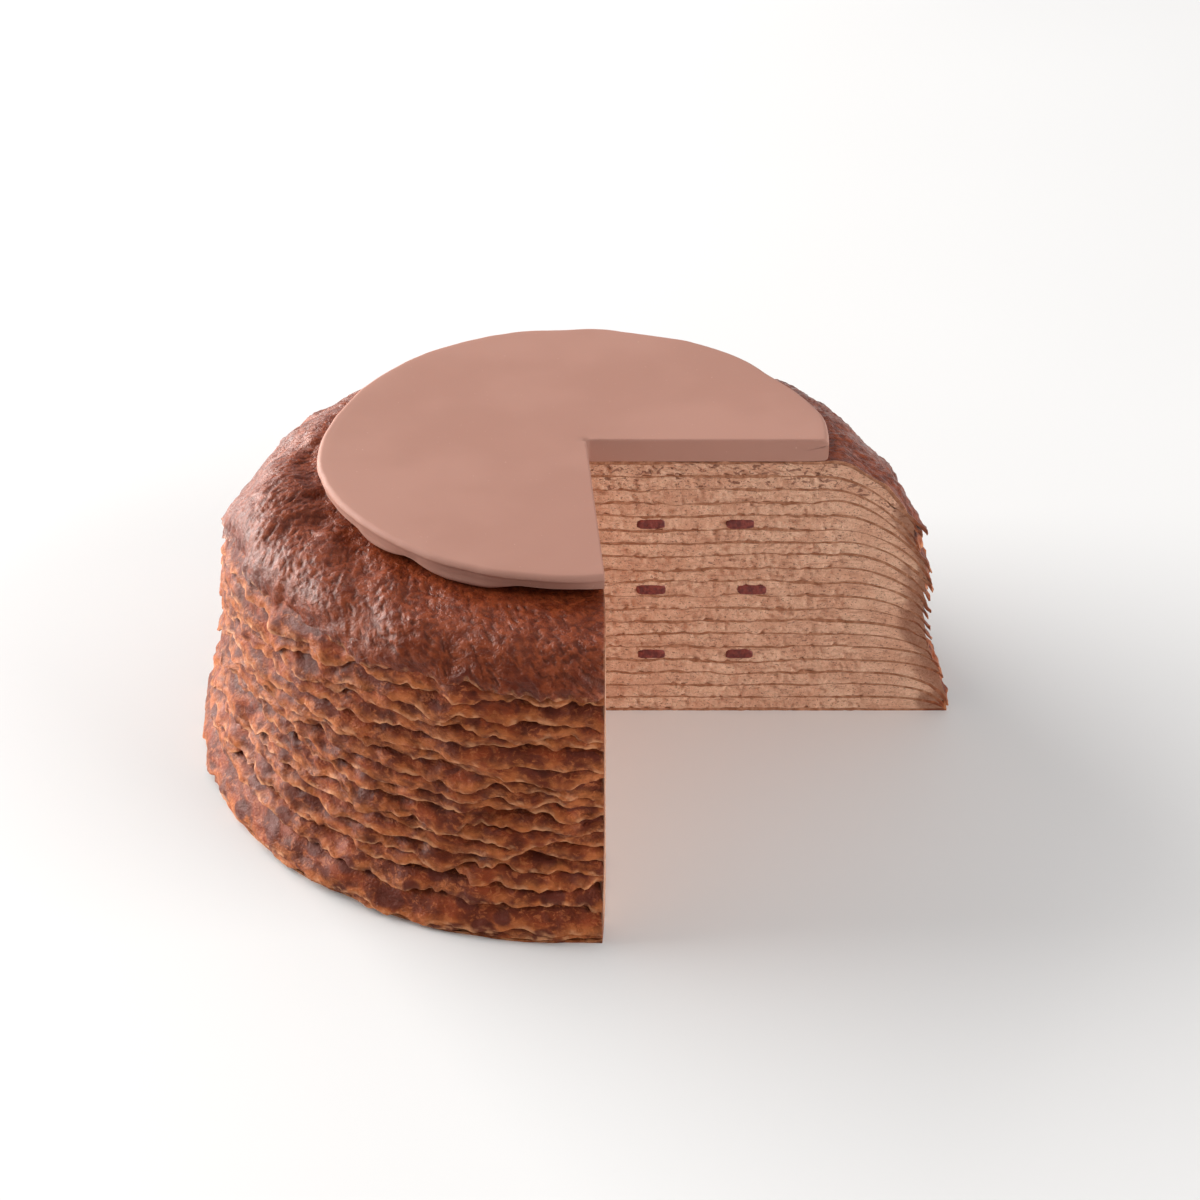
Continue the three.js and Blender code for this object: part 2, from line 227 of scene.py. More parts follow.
class Sheet:
    """One crepe's two sides: rows run from where it starts to bend to its free edge, columns go round."""

    def __init__(self, crepe, angles, rows):
        self.crepe, self.angles = crepe, angles
        self.slumped = slump(angles)
        way = angles * WAY_RADIUS
        nominal = edge_height(crepe, self.slumped)
        edge_z = np.maximum(nominal + self.ragged(way), 0.3 + 0.2 * (crepe - 1) ** 0.5)
        edge_r = side_radius(edge_z, self.slumped) + self.bulges(way) + 0.35 * (nominal - edge_z)
        edge_r = edge_r + 0.5 * (crepe <= PLATE_CREPES) - 0.25 * max(0, PLATE_CREPES - crepe)
        soft = softness(crepe, self.slumped)
        start_radius = side_radius(nominal, self.slumped) - BEND_WIDTH - 4 * self.slumped - 3.5 * soft
        x0, y0 = on_ray(angles, start_radius)
        start_z = FLAT[crepe - 1] + CAD_CREPE / 2 + sway(x0, y0, crepe)
        start_thick = sheet_thickness(x0, y0, crepe)
        u = rows[:, None]
        r, z = drooping_curve(u, start_radius, start_z, edge_r, edge_z, soft)
        self.finish(u, r, z, way, start_thick)

    def finish(self, u, r, z, way, start_thick):
        free = smoothstep(0.35, 0.75, u) * min(1.0, (self.crepe - 1) / 3)
        normal = outward_normals(r, z)
        to_edge = distance_to_edge(r, z)
        folds = self.folds(way, z, to_edge) * free
        r, z = r + normal[0] * folds, z + normal[1] * folds
        normal = outward_normals(r, z)
        self.to_edge = to_edge
        self.relief = crumple(way, to_edge, self.crepe)
        self.edge = self.worn_edge(way, to_edge)
        stuck = 0.42 + 0.58 * smoothstep(-0.35, 0.35, noise(way / 8, to_edge / 4, self.crepe * 1.9, 58))
        thick = start_thick + (SHEET_OUTSIDE * stuck - start_thick) * smoothstep(0.1, 0.7, u)
        thick = SHEET_EDGE + (thick - SHEET_EDGE) * smoothstep(0, 1.3, to_edge) ** 0.6
        self.upper = self.place(r, z, normal, thick / 2 + free * self.relief * 0.30)
        self.lower = self.place(r, z, normal, -thick / 2)

    def worn_edge(self, way, to_edge):
        """1 along the thin free edge, which is paler than the rest, and 0 away from it."""
        return 1 - smoothstep(0.1, 0.6, to_edge + 0.45 * noise(way / 1.3, self.crepe, 0, 57))

    def ragged(self, way):
        """How far the free edge rises and falls: waves, bites and tongues of torn crepe."""
        k = self.crepe
        sizes = ((0.8, 20, 0.55, 31), (0.7, 7.5, 1.7, 32), (0.5, 3.1, 3.3, 33), (0.42, 1.35, 5.3, 35))
        waves = sum(height * noise(way / size, k * own, 0, seed) for height, size, own, seed in sizes)
        bites = 1.8 * np.maximum(0, noise(way / 5, k * 5.1, 0, 34) - 0.35)
        tongues = 3.0 * np.maximum(0, noise(way / 8, k * 2.7, 0, 36) - 0.4)
        return min(1.0, (k - 1) / 4) * (waves + bites - tongues)

    def bulges(self, way):
        k = self.crepe
        wide = (0.55 + 0.5 * self.slumped) * noise(way / 16, k * 0.35, 0, 41)
        return wide + 0.35 * noise(way / 6.5, k * 0.6, 0, 42) + 0.2 * noise(way / 2.3, k * 4.3, 0, 43)

    def folds(self, way, z, to_edge):
        """Soft pleats that crepes share with their neighbours, and free edges that stand off in places."""
        k = self.crepe
        pleats = 0.5 * noise(way / 9, z / 8, k * 0.12, 50) + 0.45 * noise(way / 4.2, z / 5, k * 0.3, 51)
        fine = 0.26 * noise(way / 2.4, z / 1.3, k * 0.9, 52)
        lifted = 0.8 * np.maximum(0, noise(way / 6, k * 7.1, 0, 53) - 0.3) * np.exp(-to_edge / 1.5)
        return pleats + fine + lifted

    def place(self, r, z, normal, offset):
        x, y = on_ray(self.angles[None, :], r + normal[0] * offset)
        return np.clip(np.stack([x, y, z + normal[1] * offset], axis=-1), BOX_LOW, BOX_HIGH)


def drooping_curve(u, start_r, start_z, edge_r, edge_z, soft, handle_share=0.45):
    """A cubic curve that leaves the stack level and comes down at the edge, steeply unless it is soft."""
    drop = np.maximum(start_z - edge_z, 0.05)
    steep = np.radians(24 + (50 - 8 * soft) * smoothstep(0.5, 5, drop))
    handle = handle_share * drop + 0.8
    r1 = start_r + (0.6 - 0.27 * soft) * (edge_r - start_r)
    r2, z2 = edge_r - np.cos(steep) * handle, np.minimum(edge_z + np.sin(steep) * handle, start_z)
    a, b, c, d = (1 - u) ** 3, 3 * u * (1 - u) ** 2, 3 * u * u * (1 - u), u**3
    return a * start_r + b * r1 + c * r2 + d * edge_r, a * start_z + b * start_z + c * z2 + d * edge_z


def distance_to_edge(r, z):
    """Distance along a sheet from each point to its free edge, in the last row."""
    steps = np.hypot(np.diff(r, axis=0), np.diff(z, axis=0))
    along = np.concatenate([np.zeros_like(r[:1]), np.cumsum(steps, axis=0)])
    return along[-1:] - along


def crumple(way, to_edge, crepe):
    """Wrinkled skin from -1 to 1: creases in two sizes, drawn out along the free edge."""
    x, y = way + 0.5 * to_edge, to_edge
    warp = 0.5 * noise(x / 3.5, y / 2, crepe, 54)
    big = 1 - 2.2 * np.abs(noise(x / 4.2 + warp, y / 1.4 - warp, crepe * 1.7, 55))
    small = 1 - 2.2 * np.abs(noise(x / 1.8 - warp, y / 0.95 + warp, crepe * 2.9, 56))
    return 0.5 * big + 0.5 * small


def outward_normals(r, z):
    """The upward and outward normals of curves whose points run along the first axis."""
    dr, dz = np.gradient(r, axis=0), np.gradient(z, axis=0)
    length = np.hypot(dr, dz) + 1e-9
    return -dz / length, dr / length


def cut_points(angle, reach, count):
    """Points along a cut, from the cut corner to just short of a distance from it."""
    distance = np.linspace(0, reach, count + 1)[:-1]
    x, y = CUT_CORNER[0] + distance * math.cos(angle), CUT_CORNER[1] + distance * math.sin(angle)
    return curled(x, y), y


def crepe_sides_on_cut(crepe, x, y):
    """Heights of a crepe's lower and upper side at points inside the cake."""
    middle = FLAT[crepe - 1] + CAD_CREPE / 2 + sway(x, y, crepe)
    half = sheet_thickness(x, y, crepe) / 2
    return middle - half, middle + half


# ---- Closed meshes ----

FAN_HUB = (-26.0, 24.0)          # where the flat middles of the layers fan out from
DEEP = 6.0                       # stands for a place far from a crepe's free edge
CUT_COLUMNS = ((0, 0), (1, -1))  # back and front cut, and the column of a grid that lies on each


class Body:
    """Collects points, faces and per-point values, and makes one mesh object of them."""

    def __init__(self):
        self.points, self.values, self.faces, self.count = [], [], [], 0

    def polygon(self, corners):
        self.faces.append(np.array([corners]))

    def add(self, points, **values):
        """Adds an array of points, and returns an array of their numbers in the same shape."""
        shape = points.shape[:-1]
        size = int(np.prod(shape))
        self.points.append(points.reshape(-1, 3))
        self.values.append({key: np.broadcast_to(v, shape).reshape(-1) for key, v in values.items()})
        index = np.arange(self.count, self.count + size).reshape(shape)
        self.count += size
        return index

    def quads(self, grid, flip=False):
        """Joins a grid of point numbers, rows by columns."""
        a, b, c, d = grid[:-1, :-1], grid[:-1, 1:], grid[1:, 1:], grid[1:, :-1]
        corners = (a, d, c, b) if flip else (a, b, c, d)
        self.faces.append(np.stack([v.reshape(-1) for v in corners], axis=-1))

    def fan(self, hub, rim, flip=False):
        hubs = np.full(len(rim) - 1, hub)
        sides = (rim[1:], rim[:-1]) if flip else (rim[:-1], rim[1:])
        self.faces.append(np.stack([hubs, *sides], axis=-1))

    def make(self, name, keys, layer=0):
        points = np.concatenate(self.points) * MM
        mesh = bpy.data.meshes.new(name)
        mesh.vertices.add(len(points))
        mesh.vertices.foreach_set("co", points.astype(np.float32).reshape(-1))
        sizes = np.concatenate([np.full(len(f), f.shape[1]) for f in self.faces])
        corners = np.concatenate([f.reshape(-1) for f in self.faces])
        starts = np.concatenate([[0], np.cumsum(sizes)[:-1]])
        mesh.loops.add(len(corners))
        mesh.loops.foreach_set("vertex_index", corners.astype(np.int32))
        mesh.polygons.add(len(sizes))
        mesh.polygons.foreach_set("loop_start", starts.astype(np.int32))
        mesh.update(calc_edges=True)
        for key in keys:
            column = np.concatenate([v.get(key, np.zeros(len(p))) for v, p in zip(self.values, self.points)])
            mesh.attributes.new(key, "FLOAT", "POINT").data.foreach_set("value", column.astype(np.float32))
        same = np.full(len(points), layer, np.float32)
        mesh.attributes.new("layer", "FLOAT", "POINT").data.foreach_set("value", same)
        mesh.validate()
        mesh.shade_smooth()
        mesh.set_sharp_from_angle(angle=math.radians(50))
        piece = bpy.data.objects.new(name, mesh)
        bpy.context.scene.collection.objects.link(piece)
        return piece


def cut_relief(distance, height, soft):
    """How far a cut face stands out: crumbly waves, and pits drawn out along the knife's way."""
    warp = 0.9 * noise(distance / 1.9, height / 1.4, 0, 73)
    across, up = distance + warp + 0.6 * height, height + 0.3 * warp - 0.12 * distance
    waves = 0.11 * rough(across / 2.3, up / 1.1, 0, 71, 3)
    pits = np.maximum(0, noise(across / 1.1, up / 0.5, 0, 72) - 0.33)
    return waves - soft * 0.8 * pits


def between(lower, upper, cells):
    """Points from a lower to an upper line, with cells gaps between them, as rows."""
    t = np.linspace(0, 1, cells + 1)[:, None, None]
    return lower[None] * (1 - t) + upper[None] * t


def underside_rows(count):
    """Some of a grid's rows, enough for a side that hardly shows."""
    return np.unique(np.round(np.linspace(0, count - 1, min(count, UNDERSIDE_ROWS))).astype(int))


def add_underside(body, grid):
    """Faces over a lower grid that use few of its rows, except at its first and last column."""
    rows = underside_rows(len(grid))
    body.quads(grid[rows, 1:-1])
    for low, high in zip(rows[:-1], rows[1:]):
        first = [*grid[low : high + 1, 0], grid[high, 1], grid[low, 1]]
        last = [*grid[low : high + 1, -1][::-1], grid[low, -2], grid[high, -2]]
        body.polygon(first[::-1])
        body.polygon(last[::-1])


def shown_inside(line, layer):
    """1 where a cut line shows the inside of the cake, less towards its free end, where it is all skin."""
    from_end = np.linalg.norm(line - line[..., -1:, :], axis=-1)
    return 1 - 0.8 * smoothstep(8.0, 2.0, from_end + 2.5 * noise(from_end / 3, layer * 0.7, 0, 74))


def shown_at_cuts(grid, layer):
    """The same for a grid of rows by columns, whose first and last column are on the cuts."""
    shown = np.zeros(grid.shape[:2])
    for column in (0, -1):
        shown[:, column] = shown_inside(grid[:, column], layer)
    return shown


def layer_body(name, lower, upper, lower_cuts, upper_cuts, cells, soft, values, layer):
    """A closed layer.

    lower and upper are grids of points, rows outwards by columns round the cake, and lower_cuts and
    upper_cuts are the lines of points that lead to them from the cut corner along the back and the
    front cut. values gives the per-point values of the upper grid, and the cut faces get cut = 1.
    layer is the layer's number.
    """
    body = Body()
    upper_grid = body.add(upper, cut=shown_at_cuts(upper, layer), **values)
    hidden = {key: values.get(key, 0) for key in ("edge", "to_edge")}
    lower_grid = body.add(lower, cut=shown_at_cuts(lower, layer), **hidden)
    body.quads(upper_grid, flip=True)
    add_underside(body, lower_grid)
    tip = between(lower[-1], upper[-1], cells)[1:-1]
    tip_grid = body.add(tip, edge=1.0) if len(tip) else np.zeros((0, lower.shape[1]), int)
    body.quads(np.concatenate([lower_grid[-1:], tip_grid, upper_grid[-1:]]))
    corner = None
    rims = {"lower": [], "upper": []}
    for side, column in CUT_COLUMNS:
        low = np.concatenate([lower_cuts[side], lower[:, column]])
        high = np.concatenate([upper_cuts[side], upper[:, column]])
        face = between(low, high, cells)
        inner = len(lower_cuts[side])
        distance = np.hypot(face[..., 0] - CUT_CORNER[0], face[..., 1] - CUT_CORNER[1])
        shift = cut_relief(distance + 200 * side, face[..., 2], soft)
        shift[:, 0] = 0
        shift[:, inner:] *= 1 - 0.7 * smoothstep(0, 5, distance[:, inner:] - distance[:, inner : inner + 1])
        shift[0, inner:] = shift[-1, inner:] = 0
        shift[:, -1] = 0
        face = face + shift[..., None] * CUT_NORMALS[side]
        shown = shown_inside(face, layer)
        numbers = np.empty(face.shape[:-1], int)
        deep = np.full(face.shape[:-1], DEEP)
        numbers[:, :inner] = body.add(face[:, :inner], cut=shown[:, :inner], to_edge=deep[:, :inner])
        rest = (slice(1, -1), slice(inner, -1))
        numbers[rest] = body.add(face[rest], cut=shown[rest], to_edge=deep[rest])
        numbers[0, inner:] = lower_grid[:, column]
        numbers[-1, inner:] = upper_grid[:, column]
        numbers[1:-1, -1] = tip_grid[:, column]
        if corner is None:
            corner = numbers[:, 0].copy()
        else:
            numbers[:, 0] = corner
        body.quads(numbers, flip=side == 1)
        rims["lower"].append(numbers[0, :inner])
        rims["upper"].append(numbers[-1, :inner])
    sides = (("lower", lower_grid, lower_cuts), ("upper", upper_grid, upper_cuts))
    for key, grid, cuts in sides:
        back, front = rims[key]
        rim = np.concatenate([back, grid[0], front[::-1]])
        height = np.mean([cuts[0][:, 2].mean(), cuts[1][:, 2].mean()])
        hub = body.add(np.array([[*FAN_HUB, height]]))[0]
        body.fan(hub, rim, flip=key == "lower")
    return body.make(name, (*values, "cut"), layer)


# ---- Crepes ----


def skin_rows(count):
    """Rows from 0 to 1 that are closer together towards the free edge, where they show."""
    t = np.linspace(0, 1, count)
    return 1 - (1 - t) ** 1.35


def column_angles(count):
    return np.linspace(BACK_CUT, FRONT_CUT, count)


def cut_lines(crepe, reach_of, counts):
    """A crepe's lower and upper side along the back and the front cut."""
    low, high = [], []
    for side, angle in enumerate((BACK_CUT, FRONT_CUT)):
        x, y = cut_points(angle, reach_of[side], counts[side])
        under, over = crepe_sides_on_cut(crepe, x, y)
        if crepe == 1:
            under = np.zeros_like(under)
        low.append(np.stack([x, y, under], axis=-1))
        high.append(np.stack([x, y, over], axis=-1))
    return low, high


def cut_counts(reach_of):
    return [max(2, int(round(reach / CUT_STEP))) for reach in reach_of]


def reaches(grid):
    """How far from the cut corner a grid's first row starts on each cut."""
    ends = grid[0, [0, -1], :2] - CUT_CORNER
    return np.hypot(ends[:, 0], ends[:, 1])


def crepe_body(sheet, lower):
    crepe = sheet.crepe
    reach_of = reaches(sheet.upper)
    low_cuts, high_cuts = cut_lines(crepe, reach_of, cut_counts(reach_of))
    values = {"edge": sheet.edge, "relief": sheet.relief, "to_edge": sheet.to_edge}
    piece = layer_body(
        f"crepe_skin_{crepe:02d}", lower, sheet.upper, low_cuts, high_cuts, CREPE_CELLS, 0.3, values, crepe
    )
    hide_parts(crepe_node(crepe))
    return piece


def build_crepe(crepe):
    if crepe == CREPE_COUNT:
        sheet = TopSheet(column_angles(TOP_COLUMNS))
    else:
        sheet = Sheet(crepe, column_angles(SKIN_COLUMNS), skin_rows(SKIN_ROWS))
    lower = sheet.lower
    lower[..., 2] = 0 if crepe == 1 else np.maximum(lower[..., 2], 0)
    return crepe_body(sheet, lower)


# ---- The top crepe, whose upper side shows round the disc ----


class TopSheet(Sheet):
    """The top crepe: level under the disc, then a soft shoulder and a free edge over the side."""

    start = 42.0                      # distance from the axis where its rows start
    flat_length, bend_length = 13.0, 16.0
    row_step = 0.38
    way_radius = 66.0

    def __init__(self, angles):
        crepe = CREPE_COUNT
        self.crepe, self.angles = crepe, angles
        self.slumped = slump(angles)
        way = angles * self.way_radius
        nominal = edge_height(crepe, self.slumped)
        edge_z = nominal + 0.8 * self.ragged(way)
        edge_r = side_radius(edge_z, self.slumped) - 0.2 + self.bulges(way) + 0.3 * (nominal - edge_z)
        level = FLAT[crepe - 1] + CAD_CREPE / 2
        bend = 57.0 - 9.0 * self.slumped
        flat_rows = int(self.flat_length / self.row_step)
        bend_rows = int(self.bend_length / self.row_step)
        t = np.linspace(0, 1, flat_rows, endpoint=False)[:, None]
        u = np.linspace(0, 1, bend_rows)[:, None]
        r_bend, z_bend = drooping_curve(u, bend, level, edge_r, edge_z, self.slumped, 0.6)
        r = np.concatenate([self.start + (bend - self.start) * t, r_bend])
        z = np.concatenate([np.full((flat_rows, len(angles)), level), z_bend])
        self.finish_top(r, z, way)

    def finish_top(self, r, z, way):
        normal = outward_normals(r, z)
        to_edge = distance_to_edge(r, z)
        shown = smoothstep(46, 53, r)
        x, y = way[None, :] + 0.25 * to_edge, to_edge
        soft = 1 + 0.8 * np.exp(-(((self.angles - math.radians(188)) / 0.6) ** 2))[None, :]
        big = soft * (0.6 * noise(x / 10, y / 8, 0, 151) + 0.3 * noise(x / 5, y / 4.5, 0, 152))
        big = big + 0.12 * noise(x / 2.6, y / 2.4, 0, 153)
        hanging = self.folds(way, z, to_edge) * smoothstep(6, 0.5, to_edge)
        move = shown * np.minimum(big, 0.9) + hanging
        r, z = r + normal[0] * move, z + normal[1] * move
        normal = outward_normals(r, z)
        warp = 0.6 * noise(x / 2.5, y / 2.5, 0, 161)
        slant = x + 0.6 * y
        ridge = 1 - 2.3 * np.abs(noise(slant / 1.25 + warp, y / 2.3 + warp, 0, 162))
        fine = 1 - 2.3 * np.abs(noise(slant / 0.8 - warp, y / 1.05 + warp, 0, 163))
        self.relief = 0.4 * ridge + 0.6 * fine
        self.to_edge = to_edge
        self.edge = self.worn_edge(way, to_edge)
        thick = SHEET_EDGE + (SHEET_OUTSIDE - SHEET_EDGE) * smoothstep(0, 1.3, to_edge) ** 0.6
        strength = 0.21 + 0.12 * noise(x / 7, y / 7, 0, 164)
        self.upper = self.place(r, z, normal, thick / 2 + shown * strength * self.relief)
        self.lower = self.place(r, z, normal, -thick / 2)


# ---- Cream ----


def cream_angles():
    """Angles of the cream's columns, with a few extra ones just behind the cuts."""
    near = np.array([0.0, 0.004, 0.009, 0.016])
    middle = np.linspace(BACK_CUT, FRONT_CUT, CREAM_COLUMNS)[1:-1]
    return np.concatenate([BACK_CUT + near, middle, FRONT_CUT - near[::-1]])


def cream_reach(angles):
    """How far along the bend the cream reaches at each column: further where the knife went through."""
    from_cut = np.minimum(angles - BACK_CUT, FRONT_CUT - angles)
    near = np.exp(-((from_cut / 0.006) ** 2))
    share = CREAM_SHARE + 0.06 * noise(angles * 12, 0, 0, 251)
    return share + (CREAM_SHARE_AT_CUTS - share) * near


def first_rows(grid, share):
    """CREAM_ROWS rows of a grid, from its first to a share of the way to its last, which may vary."""
    at = np.linspace(0, 1, CREAM_ROWS)[:, None] * share[None] * (len(grid) - 1)
    row = np.minimum(at.astype(int), len(grid) - 2)
    part = (at - row)[..., None]
    column = np.arange(grid.shape[1])[None]
    return grid[row, column] * (1 - part) + grid[row + 1, column] * part


def build_cream(cream):
    """Cream between the upper side of one crepe and the underside of the next."""
    angles = cream_angles()
    rows = np.linspace(0, 1, 2 * SKIN_ROWS)
    share = cream_reach(angles)
    lower = first_rows(Sheet(cream, angles, rows).upper, share)
    if cream + 1 == CREPE_COUNT:
        upper = first_rows(TopSheet(angles).lower, 0.45 + 0.55 * share)
    else:
        upper = first_rows(Sheet(cream + 1, angles, rows).lower, share)
    counts = cut_counts(reaches(lower))
    _, low_lines = cut_lines(cream, reaches(lower), counts)
    high_lines, _ = cut_lines(cream + 1, reaches(upper), counts)
    piece = layer_body(
        f"cream_layer_{cream:02d}", lower, upper, low_lines, high_lines, CREAM_CELLS, 1.0, {}, cream
    )
    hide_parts(cream_node(cream))
    return piece


# ---- Materials ----


def linear(red, green, blue):
    """A colour given as it looks on a screen, 0 to 255, as the shader wants it."""
    out = []
    for value in (red, green, blue):
        v = value / 255
        out.append(v / 12.92 if v <= 0.04045 else ((v + 0.055) / 1.055) ** 2.4)
    return (*out, 1.0)


class Nodes:
    """Builds one material. Noise sizes are in millimetres."""

    def __init__(self, name):
        self.material = bpy.data.materials.new(name)
        self.material.use_nodes = True
        self.tree = self.material.node_tree
        self.shader = self.tree.nodes["Principled BSDF"]
        place = self.new("TexCoord")
        grow = self.new("VectorMath")
        grow.operation = "SCALE"
        grow.inputs["Scale"].default_value = 1 / MM
        self.link(place.outputs["Object"], grow.inputs[0])
        self.mm = grow.outputs[0]

    def new(self, kind):
        return self.tree.nodes.new("ShaderNode" + kind)

    def link(self, source, target):
        self.tree.links.new(source, target)

    def feed(self, sockets, values):
        """Gives each socket its value, or links it where the value is another node's output."""
        for socket, value in zip(sockets, values):
            if isinstance(value, (int, float, tuple)):
                socket.default_value = value
            else:
                self.link(value, socket)

    def stretched(self, scale):
        node = self.new("Mapping")
        node.inputs["Scale"].default_value = scale
        self.link(self.mm, node.inputs["Vector"])
        return node.outputs[0]

    def own(self, layer, scale=(1, 1, 1)):
        """Places that are moved a long way up from layer to layer, so that each gets its own pattern."""
        lift = self.new("CombineXYZ")
        self.link(self.math("MULTIPLY", layer, 37.0), lift.inputs["Z"])
        add = self.new("VectorMath")
        add.operation = "ADD"
        self.link(self.stretched(scale), add.inputs[0])
        self.link(lift.outputs[0], add.inputs[1])
        return add.outputs[0]

    def noise(self, size, detail=2.0, vector=None, distortion=0.0, roughness=0.5):
        node = self.new("TexNoise")
        node.inputs["Scale"].default_value = 1 / size
        node.inputs["Detail"].default_value = detail
        node.inputs["Roughness"].default_value = roughness
        node.inputs["Distortion"].default_value = distortion
        self.link(vector or self.mm, node.inputs["Vector"])
        return node.outputs["Fac"]

    def spots(self, size, vector):
        node = self.new("TexVoronoi")
        node.inputs["Scale"].default_value = 1 / size
        self.link(vector, node.inputs["Vector"])
        return node.outputs["Distance"]

    def attribute(self, name):
        node = self.new("Attribute")
        node.attribute_name = name
        return node.outputs["Fac"]

    def math(self, operation, a, b=0.0):
        node = self.new("Math")
        node.operation = operation
        self.feed(node.inputs, (a, b))
        return node.outputs[0]

    def ramp(self, value, low, high, to_low=0.0, to_high=1.0):
        """value from low to high, turned smoothly into to_low to to_high."""
        node = self.new("MapRange")
        node.interpolation_type = "SMOOTHSTEP"
        for socket, number in zip(("From Min", "From Max", "To Min", "To Max"), (low, high, to_low, to_high)):
            node.inputs[socket].default_value = number
        self.link(value, node.inputs["Value"])
        return node.outputs["Result"]

    def mix(self, amount, first, second):
        """A colour between two others."""
        node = self.new("Mix")
        node.data_type = "RGBA"
        self.feed((node.inputs[0], node.inputs[6], node.inputs[7]), (amount, first, second))
        return node.outputs[2]

    def choose(self, amount, first, second):
        """A number between two others."""
        node = self.new("Mix")
        self.feed((node.inputs[0], node.inputs[2], node.inputs[3]), (amount, first, second))
        return node.outputs[0]

    def bump(self, height, distance, strength=1.0, after=None):
        node = self.new("Bump")
        node.inputs["Strength"].default_value = strength
        node.inputs["Distance"].default_value = distance * MM
        self.link(height, node.inputs["Height"])
        if after is not None:
            self.link(after, node.inputs["Normal"])
        return node.outputs[0]

    def finish(self, colour, roughness, normal, subsurface=0.0, radius=(1.2, 0.5, 0.3)):
        sockets = [self.shader.inputs[name] for name in ("Base Color", "Roughness", "Normal")]
        self.feed(sockets, (colour, roughness, normal))
        if subsurface:
            self.shader.inputs["Subsurface Weight"].default_value = subsurface
            self.shader.inputs["Subsurface Radius"].default_value = radius
            self.shader.inputs["Subsurface Scale"].default_value = MM
        return self.material


def crepe_material():
    """Baked crepe: mottled brown, maroon where it browned most, with a thin paler free edge. Painted shade
    darkens its crumple valleys and the part of each flap under the one above, and painted light brightens
    each flap near its free edge.
    """
    n = Nodes("crepe_skin")
    layer, to_edge = n.attribute("layer"), n.attribute("to_edge")
    own = n.own(layer, (1, 1, 1.5))
    is_top = n.ramp(layer, CREPE_COUNT - 0.8, CREPE_COUNT - 0.2)
    brown = n.mix(n.ramp(n.noise(6, 4, own), 0.38, 0.62), linear(100, 37, 16), linear(142, 60, 26))
    light = n.ramp(n.noise(1.5, 5, own, 0.8, 0.68), 0.50, 0.64)
    tan = n.mix(n.math("MULTIPLY", light, 0.75), brown, linear(182, 100, 57))
    # Partly painted light: near its free edge a crepe is made paler, partly because it is thinner there and
    # partly as painted light on the part that stands out from under the flap above.
    near_edge = n.math("MULTIPLY", n.ramp(to_edge, 0.6, 2.6, 1.0, 0.0), n.ramp(n.noise(3, 3, own), 0.3, 0.65))
    edge_lit_skin = n.mix(n.math("MULTIPLY", near_edge, 0.6), tan, linear(198, 116, 62))
    leathery = n.ramp(n.noise(1.8, 5, roughness=0.6), 0.36, 0.64)
    smooth_red = n.mix(leathery, linear(106, 42, 21), linear(144, 67, 36))
    skin = n.mix(is_top, edge_lit_skin, smooth_red)
    browned = n.ramp(n.noise(5.0, 4, own, 0.5), 0.50, 0.60)
    # Partly painted shade: the scorched patches are real browning, and they are darkened more away from the
    # free edge, under the flap above, where shade falls.
    under_flap_shade = n.ramp(to_edge, 0.8, 2.4, 0.25, 0.9)
    round_spots = n.ramp(n.spots(6.5, n.stretched((1, 1, 1.25))), 0.30, 0.42, 0.95, 0.0)
    is_low = n.ramp(layer, PLATE_CREPES + 1.4, PLATE_CREPES + 2.6, 1.0, 0.0)
    maroon = n.choose(is_low, n.math("MULTIPLY", browned, under_flap_shade), round_spots)
    on_top = n.math("MULTIPLY", n.ramp(to_edge, 1, 9, 0.75, 0.0), n.ramp(n.noise(6, 3), 0.48, 0.62))
    mottled = n.mix(n.choose(is_top, maroon, on_top), skin, linear(96, 36, 22))
    # Painted shade: the skin is darkened towards dark brown in the valleys of its crumples.
    valley_shade = n.ramp(n.attribute("relief"), -0.7, 0.4, 0.6, 0.0)
    valley_shaded = n.mix(valley_shade, mottled, linear(76, 28, 14))
    rim = n.math("MULTIPLY", n.attribute("edge"), n.ramp(n.noise(2.6, 3, own), 0.42, 0.62, 0.05, 0.75))
    edged = n.mix(rim, valley_shaded, linear(214, 148, 104))
    inside = n.mix(n.ramp(n.noise(1.6, 3), 0.35, 0.7), linear(152, 98, 70), linear(188, 134, 104))
    colour = n.mix(n.attribute("cut"), edged, inside)
    side_gloss, top_gloss = (n.ramp(n.noise(2.5, 3), 0.3, 0.7, *ends) for ends in ((0.5, 0.7), (0.28, 0.44)))
    fine = n.bump(n.noise(0.45, 3, distortion=0.5), 0.14, 1.0)
    flaky = n.bump(n.noise(1.2, 4, n.own(layer, (1, 1, 1.8)), 0.8), 0.36, 0.9, fine)
    n.shader.inputs["Coat Weight"].default_value = 0.08
    n.shader.inputs["Coat Roughness"].default_value = 0.22
    n.shader.inputs["Specular IOR Level"].default_value = 0.28
    n.shader.inputs["Specular Tint"].default_value = (1.0, 0.82, 0.72, 1.0)
    return n.finish(colour, n.choose(is_top, side_gloss, top_gloss), flaky, 0.05)


